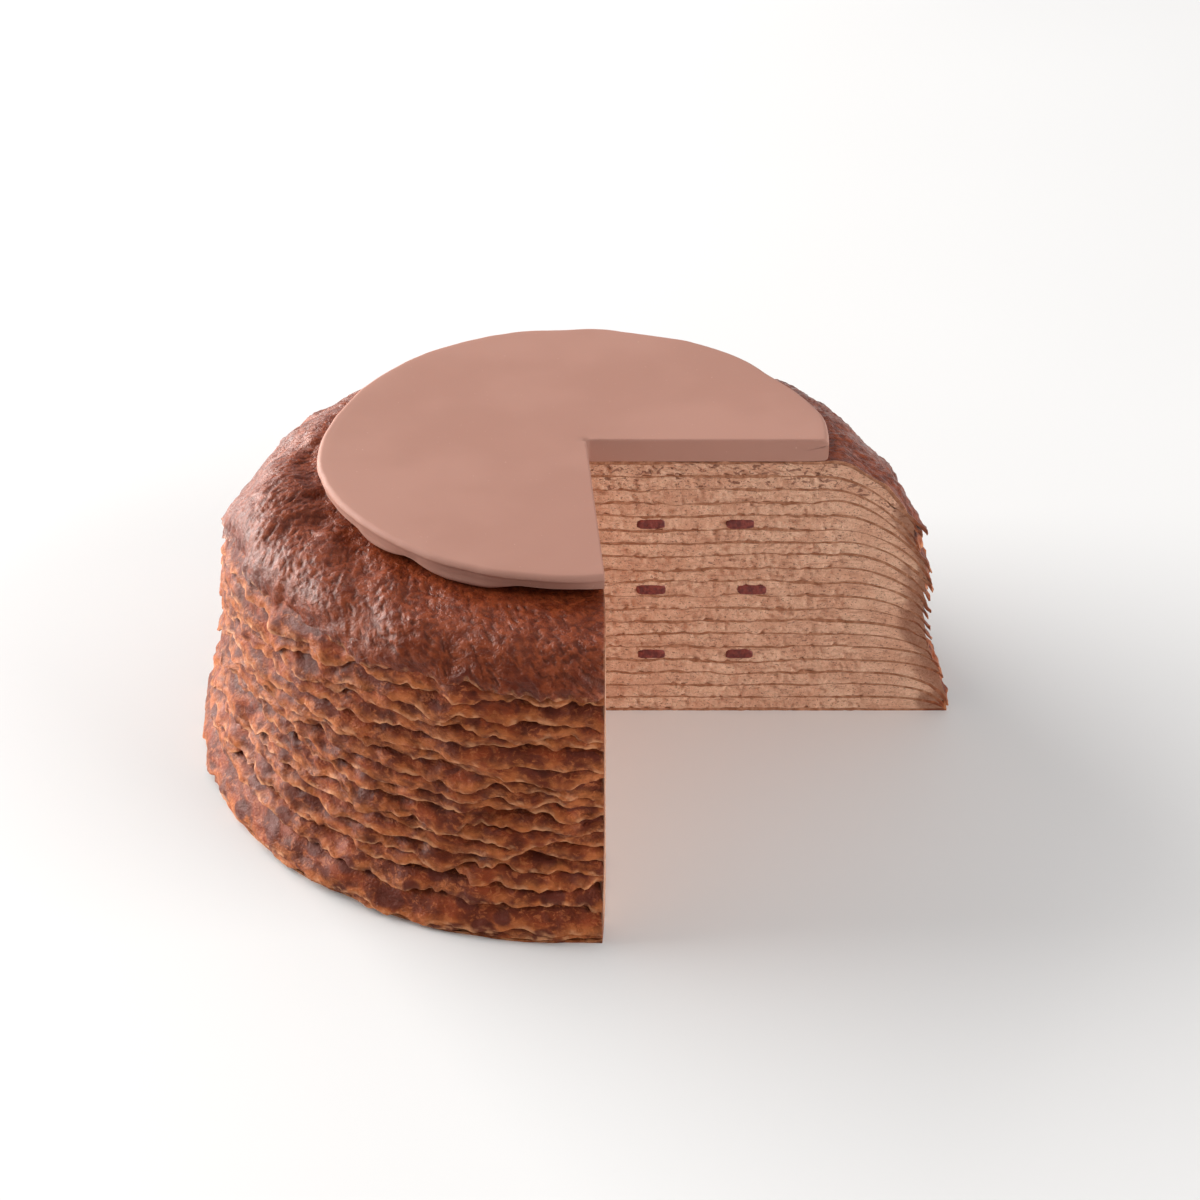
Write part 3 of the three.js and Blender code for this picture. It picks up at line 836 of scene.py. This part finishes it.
def cream_material():
    """Whipped chocolate cream: pale, dull, full of small holes that are darkened with painted shade, and
    crumbly just under the disc, where painted shade darkens patches of it.
    """
    n = Nodes("whipped_cream")
    flat, streaked = n.stretched((1, 1, 1.7)), n.stretched((1, 1, 5))
    soft = n.mix(n.ramp(n.noise(6, 3, flat), 0.35, 0.65), linear(218, 164, 134), linear(234, 186, 156))
    streaks = n.math("MULTIPLY", n.ramp(n.noise(3.2, 4, streaked, 0.6), 0.54, 0.70), 0.55)
    lined = n.mix(streaks, soft, linear(176, 120, 92))
    grain = n.mix(n.ramp(n.noise(1.1, 4, flat), 0.45, 0.75, 0.0, 0.5), lined, linear(182, 128, 100))
    is_loose = n.ramp(n.attribute("layer"), CREAM_COUNT - 1.8, CREAM_COUNT - 1.2)
    # Painted shade: in the loose cream just under the disc, patches are darkened as shade in the gaps between
    # its crumbly bits.
    crumb_gap_shade = n.math("MULTIPLY", is_loose, n.ramp(n.noise(1.7, 4, flat, 0.8), 0.56, 0.62, 0.0, 0.8))
    crumbly = n.mix(crumb_gap_shade, grain, linear(122, 72, 50))
    # Painted shade: the small holes are darkened, as shade falls in them.
    holes = n.ramp(n.noise(0.62, 3, n.stretched((1, 1, 2)), roughness=0.7), 0.58, 0.66)
    pits_shaded = n.mix(n.math("MULTIPLY", holes, 0.8), crumbly, linear(104, 58, 40))
    colour = n.mix(n.ramp(n.attribute("cut"), 0.3, 0.95, 0.75, 0.0), pits_shaded, linear(134, 78, 50))
    relief = n.bump(n.noise(0.6, 4, flat, roughness=0.65), 0.26, 1.0)
    return n.finish(colour, 0.66, relief, 0.12)


def chocolate_material():
    """Set milk chocolate with a satin top."""
    n = Nodes("milk_chocolate")
    base = n.mix(n.ramp(n.noise(24, 3), 0.35, 0.65), linear(175, 129, 114), linear(181, 135, 120))
    speck = n.ramp(n.noise(0.6, 1), 0.74, 0.8)
    colour = n.mix(n.math("MULTIPLY", speck, 0.5), base, linear(206, 166, 150))
    relief = n.bump(n.noise(12, 2), 0.05, 0.6)
    fine = n.bump(n.noise(0.8, 3), 0.012, 0.8, relief)
    n.shader.inputs["Specular IOR Level"].default_value = 0.12
    return n.finish(colour, n.ramp(n.noise(6, 2), 0.3, 0.7, 0.46, 0.54), fine, 0.05)


def fruit_material():
    """Dark red set fruit jelly."""
    n = Nodes("fruit_jelly")
    colour = n.mix(n.ramp(n.noise(0.9, 3), 0.35, 0.65), linear(98, 34, 30), linear(136, 58, 48))
    return n.finish(colour, 0.4, n.bump(n.noise(0.5, 3), 0.16, 0.9), 0.15, (1.5, 0.3, 0.3))


def floor_material():
    n = Nodes("pale_floor")
    colour = n.mix(n.ramp(n.noise(300, 2), 0.3, 0.7), (0.79, 0.785, 0.78, 1), (0.82, 0.815, 0.81, 1))
    return n.finish(colour, 0.55, n.bump(n.noise(40, 1), 0.01, 0.1))


# ---- Chocolate disc ----

DISC_COLUMNS, DISC_RINGS = 480, 34
EDGE_ROUND = 1.1                 # radius of the top's edge
CUT_ROUND = 0.35                 # and of its edges along the cuts
EDGE_WALL = 1.5                  # height of the wall under the round edge
EDGE_BOTTOM = CAKE_TOP - 2.9     # where the wall gives way to the drips
FIRST_SHARE = 0.02               # size of the innermost ring, as a share of the disc
WHOLE_EDGE = (0.1, 0.35)         # angles between which the edge at the back cut goes from whole to recessed
END_BLOCK = 7.0                  # length of a cut face's outer end, which has its own border
# The underside's rings: how far from the outline, and how much of the way from the lip to the stack.
UNDERSIDE_STEPS = ((2.5, 0.6), (4.5, 0.9), (7, 1.0))
DISC_LOBES = ((12, 10, 1.0), (36, 9, -0.9), (76, 8, -1.0), (97, 6, -0.6), (193, 19, 1.45))
DRIPS = ((3.86, 0.13, 1.5), (4.25, 0.22, 1.6), (2.1, 0.2, 0.9), (0.9, 0.25, 0.8), (0.0, 0.3, 1.7))


def disc_radius(angle):
    """The disc's outline: round, with shallow lobes and dents where the chocolate set unevenly.

    DISC_LOBES gives the middle and the width of each in degrees, and how far it stands out.
    """
    radius = DISC_RADIUS - 0.1 + 0.18 * noise(angle * 6, 0, 0, 201) + 0.10 * noise(angle * 17, 0, 0, 202)
    for middle, width, bulge in DISC_LOBES:
        radius = radius + bulge * np.exp(-(((np.degrees(angle) - middle) / width) ** 2))
    return radius


def lip_depth(angle):
    """How far chocolate hangs below the disc's edge. DRIPS gives middles, half widths and heights."""
    depth = 0.25 + 0.25 * noise(angle * 9, 0, 0, 211)
    for centre, width, height in DRIPS:
        away = np.clip(np.abs(angle - centre) / width, 0, 1)
        depth = depth + height * np.cos(away * math.pi / 2) ** 0.7 * (away < 1)
    return depth


def disc_ring(share, inset, angles, height):
    """One ring of the disc: its outline less inset, scaled by share about the cut corner."""
    x, y = on_ray(angles, np.maximum(disc_radius(angles) - inset, 0.01))
    x = CUT_CORNER[0] + (x - CUT_CORNER[0]) * share
    y = CUT_CORNER[1] + (y - CUT_CORNER[1]) * share
    return np.stack([x, y, np.broadcast_to(height, x.shape)], axis=-1)


def disc_angles(reach):
    """Angles of one ring's columns. The first and last few stay close to the cuts, to round their edges."""
    offsets = np.array([0, 0.05, 0.14, 0.26, 0.40])
    near = np.minimum(offsets / max(reach, 1e-6), 0.2 * offsets / offsets[-1])
    middle = np.linspace(near[-1], FRONT_CUT - near[-1], DISC_COLUMNS - 2 * len(near) + 2)[1:-1]
    return np.concatenate([near, middle, FRONT_CUT - near[::-1]])


def cut_rounding(x, y):
    """How far the top drops next to the cuts, so that their edges are slightly round."""
    back = y - CUT_CORNER[1]
    away = np.stack([x, y], axis=-1) - CUT_CORNER
    front = -(away[..., 0] * -math.sin(FRONT_CUT) + away[..., 1] * math.cos(FRONT_CUT))
    behind_back = np.where(away[..., 0] > -CUT_ROUND, np.abs(back), 99)
    behind_front = np.where(away[..., 1] < CUT_ROUND, np.abs(front), 99)
    near = np.clip(1 - np.minimum(behind_back, behind_front) / CUT_ROUND, 0, 1)
    return CUT_ROUND * (1 - np.sqrt(1 - near**2))


def build_disc():
    """The disc as rings: its top, its round edge, its wall, its lip with the drips and its underside."""
    body = Body()
    rings = []
    for share in np.linspace(FIRST_SHARE, 1, DISC_RINGS):
        angles = disc_angles(share * (DISC_RADIUS - EDGE_ROUND))
        rings.append(disc_ring(share, EDGE_ROUND, angles, CAKE_TOP))
    for turn in np.linspace(0, math.pi / 2, 8)[1:]:
        angles = disc_angles(DISC_RADIUS)
        inset, drop = EDGE_ROUND * (1 - math.sin(turn)), EDGE_ROUND * (1 - math.cos(turn))
        rings.append(disc_ring(1, inset, angles, CAKE_TOP - drop))
    top = np.stack(rings)
    x, y = top[..., 0], top[..., 1]
    undulation = 0.06 * noise(x / 16, y / 16, 0, 221) + 0.015 * noise(x / 6, y / 6, 0, 222)
    top[..., 2] += np.minimum(undulation - 0.07, 0) - cut_rounding(x, y)
    angles = disc_angles(DISC_RADIUS)
    lip = lip_depth(angles)
    whole = 1 - smoothstep(*WHOLE_EDGE, angles)
    under = []
    for t in np.linspace(0, 1, 9)[1:]:
        inset = (1 - whole) * (0.25 * np.sin(t * math.pi) - 0.12 * t * (lip > 0.9) + 0.5 * t**3)
        under.append(disc_ring(1, inset, angles, CAKE_TOP - EDGE_ROUND - EDGE_WALL * t))
    low = np.maximum(EDGE_BOTTOM - lip, STACK_TOP + 0.15)
    for t in np.linspace(0, 1, 7)[1:]:
        recessed = 0.5 + 0.55 * (1 - np.cos(t * math.pi * 0.8)) - 0.55 * np.sin(t * math.pi) * (lip / 1.8)
        inset = (1 - whole) * recessed + whole * 0.9 * t**3
        under.append(disc_ring(1, inset, angles, EDGE_BOTTOM + (low - EDGE_BOTTOM) * np.sin(t * math.pi / 2)))
    for inset, share in UNDERSIDE_STEPS:
        under.append(disc_ring(1, inset, angles, low + (STACK_TOP - low) * share))
    rings = np.concatenate([top, np.stack(under)])
    grid = body.add(rings)
    body.quads(grid, flip=True)
    top_pole = body.add(np.array([[*CUT_CORNER, CAKE_TOP - CUT_ROUND * 0.6]]))[0]
    low_pole = body.add(np.array([[*CUT_CORNER, STACK_TOP]]))[0]
    body.fan(top_pole, grid[0])
    body.fan(low_pole, grid[-1, 1:-1], flip=True)
    for side, column in CUT_COLUMNS:
        add_disc_cut(body, rings[:, column], grid, (top_pole, low_pole), side, column)
    piece = body.make("chocolate_top", ())
    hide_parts("chocolate_disc")
    return piece


def add_disc_cut(body, outline, grid, poles, side, column):
    """Fills one cut face of the disc: columns under its top line, and a fan at its rounded end.

    outline has the points of the grid's column that is on the cut, from the corner outwards, round the
    edge and back along the underside. poles are the corner's highest and lowest point.
    """
    line, outer = grid[:DISC_RINGS, column], grid[DISC_RINGS:, column]
    points = outline[:DISC_RINGS]
    depth = np.linspace(0, 1, 8)[1:-1]
    inner = points[None].repeat(len(depth), axis=0).copy()
    inner[..., 2] = points[None, :, 2] + (STACK_TOP - points[:, 2])[None] * depth[:, None]
    base = points.copy()
    base[:, 2] = STACK_TOP
    reach = np.hypot(points[:, 0] - CUT_CORNER[0], points[:, 1] - CUT_CORNER[1])
    last = int(np.searchsorted(reach, reach[-1] - END_BLOCK))
    wobble = 0.05 * rough(reach[None] / 2.5 + 90 * side, inner[..., 2] / 1.5, 0, 231, 3)
    inner = inner + wobble[..., None] * CUT_NORMALS[side]
    middle = body.add(inner[:, :last])
    bottom = body.add(base[:last])
    block = np.concatenate([line[None, :last], middle, bottom[None]])
    body.quads(block, flip=side == 0)
    body.fan(poles[0], np.append(block[:, 0], poles[1]), flip=side == 0)
    end = np.concatenate([block[::-1, -1], line[last:], outer])
    inner_end = inner[::-1, last - 1]
    end_points = np.concatenate([base[last - 1 : last], inner_end, points[last - 1 :], outline[DISC_RINGS:]])
    fill_outline(body, end, end_points, side == 0)
    if side == 0:
        body.polygon([poles[1], grid[-1, 1], grid[-1, 0], *bottom[::-1]])
    else:
        body.polygon([poles[1], *bottom, grid[-1, -1], grid[-1, -2]])


def fill_outline(body, outline, points, flip):
    """Fills an outline with a narrow border of faces and a fan round its middle."""
    middle = (points.min(axis=0) + points.max(axis=0)) / 2
    border = body.add(middle + (points - middle) * 0.86)
    loop, inner_loop = np.append(outline, outline[0]), np.append(border, border[0])
    body.quads(np.stack([loop, inner_loop]), flip=flip)
    body.fan(body.add(middle[None])[0], inner_loop, flip=flip)


# ---- Fruit rings ----


def build_fruit_ring(level, place):
    """A ring of jelly with a rounded, uneven rectangle as its section, and slightly bulging cut faces."""
    node = f"fruit_ring_{level}_{place}"
    low, high = cad_box(node)
    radius = (high[0] - low[0]) / 2 - RING_WIDTH / 2
    angles = column_angles(RING_COLUMNS)
    turn = np.linspace(0, 2 * math.pi, RING_TURNS, endpoint=False)
    across = np.sign(np.cos(turn)) * np.abs(np.cos(turn)) ** RING_SQUARENESS * RING_WIDTH / 2
    up = np.sign(np.sin(turn)) * np.abs(np.sin(turn)) ** RING_SQUARENESS * RING_HEIGHT / 2
    seed = 300 + len(level) * 7 + len(place)
    ring_angle, ring_turn = np.meshgrid(angles, turn)
    swell = 1 + 0.11 * noise(ring_angle * radius / 3, np.cos(ring_turn) * 1.7, np.sin(ring_turn) * 1.7, seed)
    x, y = on_ray(ring_angle, radius + across[:, None] * swell)
    z = (low[2] + high[2]) / 2 + up[:, None] * swell
    rings = np.stack([x, y, z], axis=-1)
    body = Body()
    grid = body.add(rings)
    body.quads(np.concatenate([grid, grid[:1]]))
    for side, column in CUT_COLUMNS:
        centre = rings[:, column].mean(axis=0)
        normal = CUT_NORMALS[side]
        outline, shape = grid[:, column], rings[:, column]
        for shrink, out in ((0.93, 0.10), (0.75, 0.14), (0.5, 0.12), (0.25, 0.16)):
            ring = centre + (shape - centre) * shrink + normal * out
            ring = ring + normal * 0.05 * noise(ring[:, 0] * 2, ring[:, 1] * 2, ring[:, 2] * 2, seed)[:, None]
            inner = body.add(ring)
            strip = np.stack([np.append(outline, outline[0]), np.append(inner, inner[0])])
            body.quads(strip, flip=side == 1)
            outline = inner
        hub = body.add((centre + normal * 0.15)[None])[0]
        body.fan(hub, np.append(outline, outline[0]), flip=side == 1)
    piece = body.make(f"fruit_{level}_{place}", ())
    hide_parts(node)
    return piece


# ---- Floor, lamps and camera ----

FLOOR_REACH = 3.0                # metres from the middle to each side
LAMP_COLOUR = (1.0, 0.985, 0.965)
# Each lamp's place in metres, its width and height, and its power in watts.
LAMPS = {
    "key": ((-1.08, 0.56, 0.43), (1.5, 0.8), 40.0),
    "fill": ((0.92, -0.44, 0.42), (0.9, 0.7), 9.0),
}
BRIGHT_SIDE = (0, 0.8, 0.6)      # the way the surround is brightest
SURROUND = (0.095, 0.51)         # its darkest and its brightest
CAMERA_PLACE = (0.00446, -0.55627, 0.38013)
CAMERA_DOWN = 32.37              # degrees below level
LENS, SENSOR = 99.9, 36


def build_stage():
    """A pale floor, a white surround, a wide soft light from behind on the left, and a weak fill."""
    mesh = bpy.data.meshes.new("floor")
    corners = [(x * FLOOR_REACH, y * FLOOR_REACH, 0) for x, y in ((-1, -1), (1, -1), (1, 1), (-1, 1))]
    mesh.from_pydata(corners, [], [(0, 1, 2, 3)])
    floor = bpy.data.objects.new("floor", mesh)
    floor.data.materials.append(floor_material())
    bpy.context.scene.collection.objects.link(floor)

    bpy.context.scene.world = build_surround()
    for name, (place, size, power) in LAMPS.items():
        add_lamp(name, place, size, power)


def build_surround():
    """A white surround that is brighter above and behind than on the camera's side."""
    world = bpy.data.worlds.new("surround")
    world.use_nodes = True
    tree = world.node_tree
    place = tree.nodes.new("ShaderNodeTexCoord")
    along = tree.nodes.new("ShaderNodeVectorMath")
    along.operation = "DOT_PRODUCT"
    along.inputs[1].default_value = BRIGHT_SIDE
    strength = tree.nodes.new("ShaderNodeMapRange")
    strength.interpolation_type = "SMOOTHSTEP"
    for socket, number in zip(("From Min", "From Max", "To Min", "To Max"), (-0.6, 0.7, *SURROUND)):
        strength.inputs[socket].default_value = number
    background = tree.nodes["Background"]
    background.inputs["Color"].default_value = (0.97, 0.98, 1.0, 1)
    tree.links.new(place.outputs["Generated"], along.inputs[0])
    tree.links.new(along.outputs["Value"], strength.inputs["Value"])
    tree.links.new(strength.outputs["Result"], background.inputs["Strength"])
    return world


def add_lamp(name, place, size, power):
    """A rectangular soft light that faces the middle of the floor."""
    light = bpy.data.lights.new(name, "AREA")
    light.shape = "RECTANGLE"
    light.size, light.size_y = size
    light.energy, light.color = power, LAMP_COLOUR
    lamp = bpy.data.objects.new(name, light)
    lamp.location = place
    towards = -np.array(place) / np.linalg.norm(place)
    lamp.rotation_euler = (math.acos(-towards[2]), 0, math.atan2(towards[1], towards[0]) - math.pi / 2)
    bpy.context.scene.collection.objects.link(lamp)


def build_camera():
    """A long lens that looks down on the cake from the front."""
    data = bpy.data.cameras.new("camera")
    data.lens, data.sensor_width = LENS, SENSOR
    camera = bpy.data.objects.new("camera", data)
    camera.location = CAMERA_PLACE
    camera.rotation_euler = (math.radians(90 - CAMERA_DOWN), 0, 0)
    bpy.context.scene.collection.objects.link(camera)
    bpy.context.scene.camera = camera


# ---- Everything together ----


def dress(piece, material):
    piece.data.materials.append(material)
    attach(piece, "root")


def build_cake():
    crepe, cream = crepe_material(), cream_material()
    fruit, chocolate = fruit_material(), chocolate_material()
    for index in range(1, CREPE_COUNT + 1):
        dress(build_crepe(index), crepe)
    for index in range(1, CREAM_COUNT + 1):
        dress(build_cream(index), cream)
    for level in ("low", "middle", "high"):
        for place in ("inner", "outer"):
            dress(build_fruit_ring(level, place), fruit)
    dress(build_disc(), chocolate)


build_cake()
build_stage()
build_camera()
bpy.context.scene.view_settings.view_transform = "Standard"
